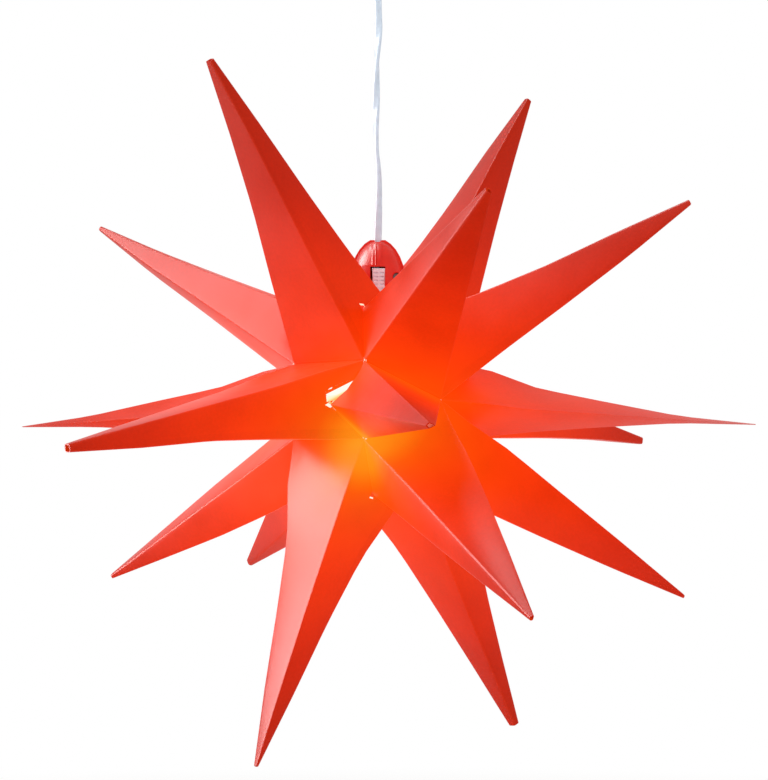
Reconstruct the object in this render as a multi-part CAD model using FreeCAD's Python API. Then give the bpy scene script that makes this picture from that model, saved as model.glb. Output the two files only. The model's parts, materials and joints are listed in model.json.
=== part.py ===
import FreeCAD, Part
import math
import os

# Fold-flat star lantern with eighteen hollow spikes, hung by its flat flex from a ceiling hook.
# Millimetres, +Z up. The origin is where the hook's shank meets the ceiling.
# The star, its cap and its lamp are drawn about the hub's centre and then lowered to HUB_DROP.

Vector = FreeCAD.Vector
UP = Vector(0, 0, 1)
HUB = Vector(0, 0, 0)

# Star
MID_REACH = 275.0        # hub centre to the end of a middle spike
SIDE_REACH = 267.0       # hub centre to the end of a front or back spike
FAN_AZIMUTH = 42.5       # where the fan's axis points, from the front towards the right, degrees
SIDE_LEAN_FRONT = 54.5   # front spikes, from the middle plane towards the fan's axis, degrees
SIDE_LEAN_BACK = 56.5
HUB_RADIUS = 54.0        # fan axis to the joint between two strips
HUB_HALF_WIDTH = 37.0    # middle plane to the corner of a middle spike
POLE_HEIGHT = 65.0       # hub centre to the point where six side spikes meet
GUSSET_RISE = 28.0       # how far a side spike's fourth corner climbs the middle spike
STRIPS = 6
# How far each strip has settled round the fan's axis as the star hangs open, degrees
STRIP_SETTLE = (-6.0, -3.0, 5.0, 6.5, 0.5, -5.0)
# Spikes that stand apart from their strip: round the axis, and along it, degrees
SPIKE_SETTLE = {
    ("front", 1): (-3.0, -2.5),
    ("mid", 2): (1.0, -2.0),
    ("front", 2): (0.0, -2.0),
    ("back", 0): (-1.5, 0.0),
    ("back", 1): (2.0, 0.0),
    ("front", 4): (-1.5, 0.0),
}
# Corners of the hub that have settled off their even places, by joint and side
CORNER_SETTLE = {
    (1, 1): (-8.0, 0.0, 0.0),
    (1, -1): (8.0, 0.0, 0.0),
    (0, -1): (0.0, 0.0, -2.0),
    (2, 1): (0.0, 0.0, -2.0),
}

# Sheet
SHEET = 0.6              # polypropylene sheet
TIP_RUN = 18.0           # from a spike's cut end to the point where its creases would meet
TAB_DEPTH = 8.0          # base tabs, folded in and welded back to back
TAB_END = 7.0            # a tab stops this far from a corner
TAB_TAPER = 0.08         # how far each end of a tab slants in, as a share of its length
FLAP_WIDTH = 8.0         # glue flap inside one crease
FLAP_NARROWS = 0.3       # its width at the tip's end, as a share of that at its root
FLAP_ROOT = 0.86         # its two ends, as shares of the way from the tip to the mouth
FLAP_END = 0.16
CORNER_GAP = 2.8         # half width of the gap at the corners of the hub
STUD_HOLE = 1.7
STUD_HEAD = 3.2
STUD_HEAD_THICK = 1.0
STUD_PLAY = 0.1
OPEN_SEAM = 9.0          # widest opening of the seam that has come unglued

# Cap: two half shells round the top opening
CAP_TOP = 111.5
CAP_RIM = 81.5
CAP_GIRTH = 18.8         # radius of the egg that the dome's side follows
CAP_GIRTH_Z = 80.0
CAP_TOP_RADIUS = 5.0
DOME_BANDS = 6
CAP_WALL = 1.8
CAP_TURN = -8.0          # the cap has turned a little on its neck, degrees
FLANGE = 1.4             # raised rim along the parting line
FLANGE_HALF = 1.5
NECK_RADIUS = 15.0
NECK_TOP = 74.5
NECK_REACH = 8.0         # the neck ends this far inside the hub's radius
NECK_BOTTOM = HUB_RADIUS - NECK_REACH
NECK_WALL = 1.6
NECK_CLEAR = 0.6
SHELF_Z = 71.5
SHELF = 2.0
WINDOW_WIDTH = 10.4
WINDOW_TOP = 93.5
WINDOW_CLEAR = 0.6
CHANNEL_RIB = 0.9
CHANNEL_WIDTH = 4.4
SCREW_X = 13.5
SCREW_Z = 86.5
SCREW_HEAD = 2.6
SCREW_HEAD_THICK = 1.7
SCREW_SHANK = 1.2
SCREW_SEAT = 9.5         # the heads sit this far in front of the parting plane
SCREW_END = 8.5
CROSS_LENGTH = 3.2
CROSS_WIDTH = 0.7
CROSS_DEPTH = 0.9
POST_RADIUS = 3.4
POST_FACE = 15.2         # the front bosses stand proud of the dome
RING_RADIUS = 24.0
RING_HEIGHT = 4.0
RING_GAP = 0.3
RING_GRIPS = 6
RING_GRIP_RADIUS = 1.8

# Flex
FLEX_WIDTH = 5.4
FLEX_THICK = 3.2
FLEX_PLAY = 0.1          # between the flex and the grips that hold it
FLEX_EXIT_PLAY = 1.0     # in the cap's top opening
CORE_RADIUS = 1.0
CORE_PITCH = 2.6
CORE_DEPTH = 9.0         # how far the cores reach into the holder
CORE_PLAY = 0.2
RELIEF_Y = -9.0          # the strain relief stands this far in front of the flex's line
RELIEF_TOP = 92.3
RELIEF_WIDTH = 7.6
RELIEF_DEPTH = 6.4
RELIEF_ROUND = 1.2
RELIEF_PITCH = 2.7
RELIEF_SLOTS = 5
RELIEF_FIRST = 3.2       # top of the strain relief to its first slot
SLOT_WIDTH = 2.5
SLOT_HEIGHT = 0.9
SLOT_DEPTH = 1.3
SLOT_SPINE = 1.0         # left standing between two slots
TAIL_LEAD = 0.5          # straight flex before and after its bend
STRIP_FROM = 3.0         # the sheath ends this far above the shelf

# Lamp holder and lamp
HOLDER_RADIUS = 11.8
HOLDER_TOP = 69.0
HOLDER_EDGE = 1.0
HOLDER_MOUTH = 26.0
COLLAR_BITE = 0.8        # the collar sits this deep in the neck's wall
HOLDER_COLLAR = NECK_RADIUS - NECK_WALL + COLLAR_BITE
COLLAR_Z = 62.0
COLLAR_HEIGHT = 2.4
BLOCK_BOTTOM = 50.0
SKIRT_RADIUS = 10.6
SKIRT_STEP = 44.0
SKIRT_STEP_RUN = 2.0
LAMP_SHELL = 6.9
THREAD_PLAY = 0.2
SLEEVE_INNER = LAMP_SHELL + THREAD_PLAY
SLEEVE_WALL = 0.5
SLEEVE_LIP = 1.5
FIT = 0.1
SHELL_WALL = 0.5
SHELL_EDGE = 0.6
LAMP_FOOT_TOP = 46.0
LAMP_FOOT_RADIUS = 2.9
LAMP_SHELL_TOP = 43.0
INSULATOR = 1.3          # height of the insulator between shell and foot
LAMP_PLUG_TOP = 26.6     # the body's plug inside the shell
LAMP_NECK_DROP = 1.6     # the holder's mouth to the lamp's neck, screwed home
LAMP_NECK = 8.2
LAMP_NECK_HEIGHT = 3.0
LAMP_WAIST = 12.2        # the lamp's body flares in two steps from its neck to the globe
LAMP_WAIST_Z = 16.0
LAMP_SHOULDER_Z = 7.0
GLOBE_RADIUS = 20.0
GLOBE_WALL = 1.2
GLOBE_Z = -5.0
HOLLOW_BANDS = 5
PLATE_RECESS = 0.6
PLATE_THICK = 1.2
PART_GAP = 0.3
LEAF = 0.6               # leaf contact's strip
LEAF_HALF = 2.0
TERMINAL_X = 6.0
TERMINAL_Y = 3.0
TERMINAL_HEAD = 2.2
TERMINAL_HEAD_THICK = 1.4
TERMINAL_DEPTH = 6.5
TERMINAL_SLOT = 0.7

# Hanging parts, below the ceiling
GRIP_TOP = 39.5
GRIP_CAP_HEIGHT = 8.0
GRIP_CAP_WALL = 5.0
GRIP_RADIUS = 8.0
GRIP_SHOULDER = 3.0
GRIP_BOTTOM = 76.0
GRIP_TAPER = 2.5
GRIP_TAPER_HEIGHT = 8.0
CAP_TO_GRIP = 178.5      # free flex between the star's cap and the grip
HUB_DROP = GRIP_BOTTOM + CAP_TO_GRIP + CAP_TOP
HOOK_WIRE = 1.75
HOOK_BEND = 9.0
HOOK_NECK = 7.0
HOOK_STRAIGHT = 5.0
HOOK_SEAT = 4.0          # straight length at the bottom of the bend, where the eye hangs
HOOK_END = -205.0        # where the bend stops, round from the right, degrees
SHANK_RADIUS = 2.25
SHANK_LENGTH = 22.0
SHANK_POINT = 4.0
COLLAR_RADIUS = 6.0
COLLAR_THICK = 1.5
EYE_INNER = 4.25
EYE_WIDTH = 2.5
EYE_THICK = 2.5
STEM_RADIUS = 1.5
STEM_CLEAR = 0.08
STEM_HEAD = 3.0
STEM_HEAD_THICK = 2.0
STEM_ROOM = 0.4          # round the stem's head in the grip
GRIP_SPIGOT = 6.0
GRIP_SPIGOT_HEIGHT = 2.8
GRIP_HOLD = 16.0         # how far the flex goes into the grip
GRIP_SCREW = 2.0
GRIP_SCREW_UP = 8.5
GRIP_SCREW_SLOT = 0.8

# Cutters run this far past what they cut
PAST = 1.0
FAR_PAST = 60.0


def make_solid(loops):
    """A solid from its flat faces, each given as a loop of corners."""
    faces = [Part.Face(Part.makePolygon(loop + [loop[0]])) for loop in loops]
    shell = Part.Shell(faces)
    shell.sewShape()
    solid = Part.Solid(shell)
    if solid.Volume < 0:
        solid.reverse()
    return solid


def between(a, b, share):
    return a + (b - a) * share


def turned(shape, degrees):
    shape.rotate(HUB, UP, degrees)
    return shape


def box(x0, x1, y0, y1, z0, z1):
    return Part.makeBox(x1 - x0, y1 - y0, z1 - z0, Vector(x0, y0, z0))


def rod(radius, base, top):
    return Part.makeCylinder(radius, (top - base).Length, base, top - base)


def upright(radius, x, y, low, high):
    return rod(radius, Vector(x, y, low), Vector(x, y, high))


def lying(radius, x, z, front, back):
    return rod(radius, Vector(x, front, z), Vector(x, back, z))


def revolved(points):
    """A solid of revolution about Z from a closed (radius, height) outline."""
    corners = [Vector(r, 0, z) for r, z in points]
    face = Part.Face(Part.makePolygon(corners + [corners[0]]))
    return face.revolve(HUB, UP, 360)


# The fan: its axis lies level, and the strips stand round it like the leaves of a book.

def fan_frame():
    turn = math.radians(FAN_AZIMUTH)
    axis = Vector(math.sin(turn), -math.cos(turn), 0)
    level = Vector(-math.cos(turn), -math.sin(turn), 0)
    return axis, level


AXIS, LEVEL = fan_frame()


def round_fan(degrees):
    turn = math.radians(degrees)
    return LEVEL * math.cos(turn) + UP * math.sin(turn)


def spike_direction(ring, strip):
    settle, lean = SPIKE_SETTLE.get((ring, strip), (0.0, 0.0))
    level = round_fan(strip * 360.0 / STRIPS + STRIP_SETTLE[strip] + settle)
    side = {"front": SIDE_LEAN_FRONT, "mid": 0.0, "back": -SIDE_LEAN_BACK}[ring] + lean
    angle = math.radians(side)
    return level * math.cos(angle) + AXIS * math.sin(angle)


def joint_corner(strip, side):
    """Corner between strip and the next one round, in front (side 1) or behind (side -1)."""
    settle = Vector(*CORNER_SETTLE.get((strip % STRIPS, side), (0, 0, 0)))
    return round_fan((strip + 0.5) * 360.0 / STRIPS) * HUB_RADIUS + AXIS * (side * HUB_HALF_WIDTH) + settle


def spike_reach(ring):
    return MID_REACH if ring == "mid" else SIDE_REACH


def spike_apex(ring, strip):
    return spike_direction(ring, strip) * (spike_reach(ring) + TIP_RUN)


def gusset_corner(strip, side):
    """Fourth corner of a side spike: it lies on the middle spike's panel, above their joint."""
    low = joint_corner(strip - 1, side)
    high = joint_corner(strip, side)
    middle = between(low, high, 0.5)
    climb = spike_apex("mid", strip) - middle
    return middle + climb * (GUSSET_RISE / climb.Length)


def spike_base(ring, strip):
    """The corners of a spike's mouth in order, and the four that its creases run to."""
    if ring == "mid":
        front = [joint_corner(strip - 1, 1), gusset_corner(strip, 1), joint_corner(strip, 1)]
        back = [joint_corner(strip, -1), gusset_corner(strip, -1), joint_corner(strip - 1, -1)]
        creased = [front[0], front[2], back[0], back[2]]
        return front + back, creased
    side = 1 if ring == "front" else -1
    mouth = [AXIS * (side * POLE_HEIGHT), joint_corner(strip - 1, side)]
    mouth += [gusset_corner(strip, side), joint_corner(strip, side)]
    return mouth, mouth


def pairs_round(loop):
    return [(corner, loop[(i + 1) % len(loop)]) for i, corner in enumerate(loop)]


def cone_over(loop, apex, foot):
    """The solid between an apex and a foot, through a loop of corners."""
    faces = []
    for corner, following in pairs_round(loop):
        faces.append([apex, corner, following])
        faces.append([foot, following, corner])
    return make_solid(faces)


def corner_notch(corner):
    """The four-sided gap left between the tabs where creases meet at a corner of the hub."""
    along = corner / corner.Length
    side = along.cross(UP)
    side.normalize()
    other = along.cross(side)
    far = corner * 1.3
    loop = [far + side * CORNER_GAP, far + other * CORNER_GAP, far - side * CORNER_GAP, far - other * CORNER_GAP]
    base = [between(HUB, point, 0.5) for point in loop]
    faces = [loop, base[::-1]]
    for (a, b), (low_a, low_b) in zip(pairs_round(loop), pairs_round(base)):
        faces.append([a, low_a, low_b, b])
    return make_solid(faces)


def inward(a, b, direction):
    """Unit normal of the plane through the hub's centre and a base edge, into the spike."""
    normal = a.cross(b)
    normal.normalize()
    return normal if normal.dot(direction - (a + b) * (0.5 / (a + b).Length)) > 0 else normal * -1


def base_tab(a, b, direction):
    """The tab folded in along one base edge, half of a welded pair."""
    edge = (b - a).Length
    start = between(a, b, TAB_END / edge)
    end = between(b, a, TAB_END / edge)
    middle = between(a, b, 0.5)
    inner = 1 - TAB_DEPTH / middle.Length
    corners = [start, end, between(end, start, TAB_TAPER) * inner, between(start, end, TAB_TAPER) * inner]
    face = Part.Face(Part.makePolygon(corners + [corners[0]]))
    return face.extrude(inward(a, b, direction) * SHEET)


def glue_flap(apex, shift, corner, following):
    """The blank's closing flap, bonded inside the panel beside one crease."""
    tip = apex - shift
    root = corner - shift
    across = (following - corner)
    low = between(tip, root, FLAP_ROOT)
    high = between(tip, root, FLAP_END)
    width = across * (FLAP_WIDTH / across.Length)
    normal = (root - tip).cross(across)
    normal.normalize()
    if normal.dot(shift) < 0:
        normal = normal * -1
    corners = [low, low + width, high + width * FLAP_NARROWS, high]
    face = Part.Face(Part.makePolygon(corners + [corners[0]]))
    return face.extrude(normal * -SHEET)


def wall_shift(direction, apex, creased):
    """How far the inner faces lie down the spike's axis for the sheet to be SHEET thick."""
    slopes = []
    for corner, following in pairs_round(creased):
        normal = (corner - apex).cross(following - apex)
        normal.normalize()
        slopes.append(abs(normal.dot(direction)))
    return direction * (SHEET / (sum(slopes) / len(slopes)))


def is_open_seam(a, b):
    """The one base seam that has come unglued, from the front spike's fourth corner to the joint."""
    ends = (gusset_corner(0, 1), joint_corner(0, 1))
    return all(min((p - q).Length for q in (a, b)) < 0.01 for p in ends)


def seam_cutter(apex):
    """A round-ended cut that bows the front spike's panel away from its open seam."""
    a, b = gusset_corner(0, 1), joint_corner(0, 1)
    middle = between(a, b, 0.5)
    along = b - a
    normal = along.cross(apex - middle)
    normal.normalize()
    across = normal.cross(along)
    across.normalize()
    if across.dot(apex - middle) < 0:
        across = across * -1
    half = along.Length / 2
    radius = (half * half + OPEN_SEAM * OPEN_SEAM) / (2 * OPEN_SEAM)
    centre = middle + across * (OPEN_SEAM - radius)
    depth = normal * (10 * SHEET)
    return rod(radius, centre - depth, centre + depth)


def closing_studs():
    """Centre and direction of the studs that close the fan beside the cap, front and back."""
    places = []
    for side in (1, -1):
        pole = AXIS * (side * POLE_HEIGHT)
        corner = joint_corner(1, side)
        middle = between(pole, corner, 0.5)
        normal = pole.cross(corner)
        normal.normalize()
        places.append((middle * (1 - 0.5 * TAB_DEPTH / middle.Length), normal))
    return places


def make_studs():
    solids = []
    face = SHEET + STUD_PLAY
    for centre, normal in closing_studs():
        middle = normal * (face + STUD_HEAD_THICK / 2)
        stem = rod(STUD_HOLE - STUD_PLAY, centre - middle, centre + middle)
        heads = []
        for way in (normal, normal * -1):
            heads.append(rod(STUD_HEAD, centre + way * face, centre + way * (face + STUD_HEAD_THICK)))
        solids.append(stem.fuse(heads).removeSplitter())
    return Part.makeCompound(solids)


def cut_for_cap(shape):
    """Round opening for the cap's neck, and room for the ring that clamps it from inside."""
    seat = HUB_RADIUS - SHEET
    low = seat - RING_HEIGHT - TAB_DEPTH
    shape = shape.cut(rod(NECK_RADIUS + NECK_CLEAR, UP * low, UP * CAP_TOP))
    return shape.cut(rod(RING_RADIUS + PAST, UP * low, UP * seat))


def make_spike(ring, strip):
    direction = spike_direction(ring, strip)
    reach = spike_reach(ring)
    apex = spike_apex(ring, strip)
    mouth, creased = spike_base(ring, strip)
    shift = wall_shift(direction, apex, creased)
    inner_apex = apex - shift
    far = [inner_apex + (corner - apex) * 1.4 for corner in creased]
    shape = cone_over(mouth, apex, HUB).cut(cone_over(far, inner_apex, direction * -FAR_PAST))
    shape = shape.cut(rod(TIP_RUN, direction * reach, direction * (reach + FAR_PAST)))
    folded = [glue_flap(apex, shift, creased[0], creased[1])]
    for corner, following in pairs_round(mouth):
        if not is_open_seam(corner, following):
            folded.append(base_tab(corner, following, direction))
    shape = shape.fuse(folded)
    for corner in mouth:
        shape = shape.cut(corner_notch(corner))
    if (ring, strip) == ("front", 0):
        shape = shape.cut(seam_cutter(apex))
    if strip in (1, 2):
        if ring == "mid":
            shape = cut_for_cap(shape)
        for centre, normal in closing_studs():
            depth = normal * (5 * SHEET)
            shape = shape.cut(rod(STUD_HOLE, centre - depth, centre + depth))
    return shape.removeSplitter()


# Cap, drawn facing the front and then turned on its neck

def dome_outline(offset):
    """(radius, height) down the dome's egg-shaped side, from its flat top to its rim."""
    start = math.asin(CAP_TOP_RADIUS / CAP_GIRTH)
    rise = (CAP_TOP - CAP_GIRTH_Z) / math.cos(start) + offset
    end = math.acos((CAP_RIM - CAP_GIRTH_Z) / rise)
    points = []
    for step in range(DOME_BANDS + 1):
        turn = start + (end - start) * step / DOME_BANDS
        points.append(((CAP_GIRTH + offset) * math.sin(turn), CAP_GIRTH_Z + rise * math.cos(turn)))
    points[0] = (points[0][0], CAP_TOP + offset)
    return points


def cap_solid(offset, neck_radius, bottom):
    outline = dome_outline(offset)
    neck = [(neck_radius, NECK_TOP), (neck_radius, bottom), (0, bottom)]
    return revolved([(0, outline[0][1])] + outline + neck)


def parting_flange():
    """Flat rim that follows the dome's outline along the parting line."""
    outline = dome_outline(FLANGE)
    right = [Vector(r, -FLANGE_HALF, z) for r, z in outline]
    left = [Vector(-r, -FLANGE_HALF, z) for r, z in reversed(outline)]
    face = Part.Face(Part.makePolygon(right + left + right[:1]))
    return face.extrude(Vector(0, 2 * FLANGE_HALF, 0))


def flex_face(width, thick, z, y=0.0):
    """The flex's flat section with round ends."""
    half = (width - thick) / 2
    r = thick / 2
    right = Part.Arc(Vector(half, y - r, z), Vector(half + r, y, z), Vector(half, y + r, z)).toShape()
    left = Part.Arc(Vector(-half, y + r, z), Vector(-half - r, y, z), Vector(-half, y - r, z)).toShape()
    back = Part.makeLine(Vector(half, y + r, z), Vector(-half, y + r, z))
    front = Part.makeLine(Vector(-half, y - r, z), Vector(half, y - r, z))
    return Part.Face(Part.Wire([right, back, left, front]))


def cap_cuts():
    """What is cut from the cap's shell: window, flex exit, core holes, holder groove and screw holes."""
    front = -FAR_PAST
    relief_back = RELIEF_Y + RELIEF_DEPTH / 2 + WINDOW_CLEAR
    cuts = [box(-WINDOW_WIDTH / 2, WINDOW_WIDTH / 2, front, relief_back, SHELF_Z + SHELF, WINDOW_TOP)]
    exit_face = flex_face(FLEX_WIDTH + FLEX_EXIT_PLAY, FLEX_THICK + FLEX_EXIT_PLAY, CAP_TOP - 2 * CAP_WALL)
    cuts.append(exit_face.extrude(UP * (4 * CAP_WALL)))
    for x in (-CORE_PITCH / 2, CORE_PITCH / 2):
        cuts.append(upright(CORE_RADIUS + CORE_PLAY, x, RELIEF_Y, SHELF_Z - PAST, SHELF_Z + SHELF + PAST))
    cuts.append(upright(HOLDER_COLLAR + FIT, 0, 0, COLLAR_Z - FIT, COLLAR_Z + COLLAR_HEIGHT + FIT))
    for x in (-SCREW_X, SCREW_X):
        cuts.append(lying(SCREW_HEAD + PART_GAP, x, SCREW_Z, front, -SCREW_SEAT))
        cuts.append(lying(SCREW_SHANK + FIT / 2, x, SCREW_Z, front, SCREW_END + FIT))
    return cuts


def make_cap():
    outer = cap_solid(0, NECK_RADIUS, NECK_BOTTOM)
    hollow = cap_solid(-CAP_WALL, NECK_RADIUS - NECK_WALL, NECK_BOTTOM - PAST)
    shell = outer.fuse(parting_flange())
    for x in (-SCREW_X, SCREW_X):
        shell = shell.fuse(lying(POST_RADIUS, x, SCREW_Z, -POST_FACE, 0))
    for x in (-CHANNEL_WIDTH / 2, CHANNEL_WIDTH / 2):
        rib = box(x - CHANNEL_RIB / 2, x + CHANNEL_RIB / 2, -FAR_PAST, 0, WINDOW_TOP, CAP_TOP + PAST)
        shell = shell.fuse(rib.common(cap_solid(CHANNEL_RIB, NECK_RADIUS, NECK_BOTTOM)))
    shell = shell.cut(hollow)
    inside = [upright(NECK_RADIUS - NECK_WALL + FIT, 0, 0, SHELF_Z, SHELF_Z + SHELF)]
    for x in (-SCREW_X, SCREW_X):
        inside.append(lying(POST_RADIUS, x, SCREW_Z, -POST_FACE, POST_FACE).common(outer))
    shell = shell.fuse(inside).cut(cap_cuts())
    half = 2 * CAP_GIRTH
    front = shell.common(box(-half, half, -half, 0, 0, 2 * CAP_TOP)).removeSplitter()
    rear = shell.common(box(-half, half, 0, half, 0, 2 * CAP_TOP)).removeSplitter()
    return turned(front, CAP_TURN), turned(rear, CAP_TURN)


def make_cap_screws():
    solids = []
    face = -SCREW_SEAT - SCREW_HEAD_THICK
    for x in (-SCREW_X, SCREW_X):
        head = lying(SCREW_HEAD, x, SCREW_Z, face, -SCREW_SEAT)
        solid = head.fuse(lying(SCREW_SHANK, x, SCREW_Z, -SCREW_SEAT, SCREW_END))
        for turn in (0, 90):
            slot = box(-CROSS_LENGTH / 2, CROSS_LENGTH / 2, face - PAST, face + CROSS_DEPTH,
                       -CROSS_WIDTH / 2, CROSS_WIDTH / 2)
            slot.rotate(HUB, Vector(0, 1, 0), turn)
            slot.translate(Vector(x, 0, SCREW_Z))
            solid = solid.cut(slot)
        solids.append(solid)
    return turned(Part.makeCompound(solids), CAP_TURN)


def make_strain_relief():
    """Ribbed grip that stands on the cap's shelf and shows in its window."""
    foot = SHELF_Z + SHELF
    x, y = RELIEF_WIDTH / 2, RELIEF_DEPTH / 2
    face = RELIEF_Y - y
    body = box(-x, x, face, RELIEF_Y + y, foot, RELIEF_TOP)
    body = body.makeFillet(RELIEF_ROUND, [e for e in body.Edges if abs(e.tangentAt(0).z) > 0.9])
    for i in range(RELIEF_SLOTS):
        low = RELIEF_TOP - RELIEF_FIRST - i * RELIEF_PITCH - SLOT_HEIGHT / 2
        for left in (-SLOT_SPINE / 2 - SLOT_WIDTH, SLOT_SPINE / 2):
            slot = box(left, left + SLOT_WIDTH, face - PAST, face + SLOT_DEPTH, low, low + SLOT_HEIGHT)
            body = body.cut(slot)
    bore = flex_face(FLEX_WIDTH + FLEX_PLAY, FLEX_THICK + FLEX_PLAY, foot - PAST, RELIEF_Y)
    return turned(body.cut(bore.extrude(UP * (RELIEF_TOP - foot + 2 * PAST))), CAP_TURN)


def make_cable_tail():
    """The flex inside the cap: it bends forward into the strain relief."""
    top, bottom = CAP_TOP - TAIL_LEAD, RELIEF_TOP + TAIL_LEAD
    drop, step = top - bottom, -RELIEF_Y
    radius = (step * step + drop * drop) / (4 * step)
    half = math.asin(drop / 2 / radius) / 2
    middle = Vector(0, RELIEF_Y / 2, (top + bottom) / 2)
    dip = Vector(0, -radius * (1 - math.cos(half)), top - radius * math.sin(half))
    rise = Vector(0, RELIEF_Y + radius * (1 - math.cos(half)), bottom + radius * math.sin(half))
    end = Vector(0, RELIEF_Y, SHELF_Z + SHELF + STRIP_FROM)
    path = Part.Wire([
        Part.makeLine(Vector(0, 0, CAP_TOP), Vector(0, 0, top)),
        Part.Arc(Vector(0, 0, top), dip, middle).toShape(),
        Part.Arc(middle, rise, Vector(0, RELIEF_Y, bottom)).toShape(),
        Part.makeLine(Vector(0, RELIEF_Y, bottom), end),
    ])
    print("flex bend radius in the cap", round(radius, 1))
    tail = path.makePipeShell([flex_face(FLEX_WIDTH, FLEX_THICK, CAP_TOP).OuterWire], True, False)
    return turned(tail, CAP_TURN)


def make_cores():
    top = SHELF_Z + SHELF + STRIP_FROM
    solids = []
    for x in (-CORE_PITCH / 2, CORE_PITCH / 2):
        solids.append(upright(CORE_RADIUS, x, RELIEF_Y, HOLDER_TOP - CORE_DEPTH, top))
    return turned(Part.makeCompound(solids), CAP_TURN)


def make_cable():
    print("free flex", CAP_TO_GRIP, "mm, and", GRIP_HOLD, "mm in the grip")
    return flex_face(FLEX_WIDTH, FLEX_THICK, CAP_TOP).extrude(UP * (CAP_TO_GRIP + GRIP_HOLD))


def make_ring():
    top = HUB_RADIUS - SHEET - RING_GAP
    low = top - RING_HEIGHT
    ring = upright(RING_RADIUS, 0, 0, low, top)
    ring = ring.cut(upright(NECK_RADIUS + FIT, 0, 0, low - PAST, top + PAST))
    for i in range(RING_GRIPS):
        turn = 2 * math.pi * i / RING_GRIPS
        x, y = RING_RADIUS * math.cos(turn), RING_RADIUS * math.sin(turn)
        ring = ring.cut(upright(RING_GRIP_RADIUS, x, y, low - PAST, top + PAST))
    return ring


# Lamp holder and lamp

def make_holder():
    """Terminal block of the lamp holder, held by its collar in the cap's neck."""
    body = revolved([
        (0, HOLDER_TOP), (HOLDER_RADIUS - HOLDER_EDGE, HOLDER_TOP), (HOLDER_RADIUS, HOLDER_TOP - HOLDER_EDGE),
        (HOLDER_RADIUS, COLLAR_Z + COLLAR_HEIGHT), (HOLDER_COLLAR, COLLAR_Z + COLLAR_HEIGHT),
        (HOLDER_COLLAR, COLLAR_Z), (HOLDER_RADIUS, COLLAR_Z), (HOLDER_RADIUS, BLOCK_BOTTOM), (0, BLOCK_BOTTOM),
    ])
    for x in (-CORE_PITCH / 2, CORE_PITCH / 2):
        body = body.cut(upright(CORE_RADIUS + CORE_PLAY, x, RELIEF_Y, HOLDER_TOP - CORE_DEPTH, HOLDER_TOP + PAST))
    for x in (-TERMINAL_X, TERMINAL_X):
        low = HOLDER_TOP - TERMINAL_DEPTH - FIT
        body = body.cut(upright(SCREW_SHANK + FIT / 2, x, TERMINAL_Y, low, HOLDER_TOP + PAST))
    return turned(body, CAP_TURN)


def make_skirt():
    """Tube below the block, round the threaded sleeve."""
    bore = SLEEVE_INNER + SLEEVE_WALL + FIT / 2
    return revolved([
        (HOLDER_RADIUS, BLOCK_BOTTOM), (HOLDER_RADIUS, SKIRT_STEP), (SKIRT_RADIUS, SKIRT_STEP - SKIRT_STEP_RUN),
        (SKIRT_RADIUS, HOLDER_MOUTH), (bore, HOLDER_MOUTH), (bore, BLOCK_BOTTOM),
    ])


def make_terminals():
    solids = []
    top = HOLDER_TOP + TERMINAL_HEAD_THICK
    for x in (-TERMINAL_X, TERMINAL_X):
        head = upright(TERMINAL_HEAD, x, TERMINAL_Y, HOLDER_TOP, top)
        shank = upright(SCREW_SHANK, x, TERMINAL_Y, HOLDER_TOP - TERMINAL_DEPTH, HOLDER_TOP)
        slot = box(x - TERMINAL_HEAD - PAST, x + TERMINAL_HEAD + PAST, TERMINAL_Y - TERMINAL_SLOT / 2,
                   TERMINAL_Y + TERMINAL_SLOT / 2, HOLDER_TOP + TERMINAL_SLOT, top + PAST)
        solids.append(head.fuse(shank).cut(slot))
    return turned(Part.makeCompound(solids), CAP_TURN)


def make_sleeve():
    low, top = HOLDER_MOUTH + SLEEVE_LIP, BLOCK_BOTTOM - FIT
    outer = upright(SLEEVE_INNER + SLEEVE_WALL, 0, 0, low, top)
    return outer.cut(upright(SLEEVE_INNER, 0, 0, low - PAST, top + PAST))


def make_holder_contact():
    """Leaf spring under the holder's block, just clear of the lamp's foot."""
    low = LAMP_FOOT_TOP + PART_GAP
    top = BLOCK_BOTTOM
    points = [(-4.5, top), (3.5, top), (3.5, top - LEAF), (-1.2, low + LEAF), (1.5, low + LEAF), (1.5, low),
              (-2.4, low), (-2.4, low + LEAF), (1.2, top - LEAF), (-4.5, top - LEAF)]
    corners = [Vector(x, -LEAF_HALF, z) for x, z in points]
    return Part.Face(Part.makePolygon(corners + [corners[0]])).extrude(Vector(0, 2 * LEAF_HALF, 0))


def globe_hollow():
    """The space inside the globe, as straight bands inside a sphere, up to the plate's seat."""
    radius = GLOBE_RADIUS - GLOBE_WALL
    top = math.asin((LAMP_SHOULDER_Z - GLOBE_Z) / radius)
    outline = [(0, GLOBE_Z - radius)]
    for step in range(1, HOLLOW_BANDS + 1):
        turn = -math.pi / 2 + (top + math.pi / 2) * step / HOLLOW_BANDS
        outline.append((radius * math.cos(turn), GLOBE_Z + radius * math.sin(turn)))
    lid = LAMP_SHOULDER_Z + PAST
    return revolved(outline + [(outline[-1][0], lid), (0, lid)])


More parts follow.
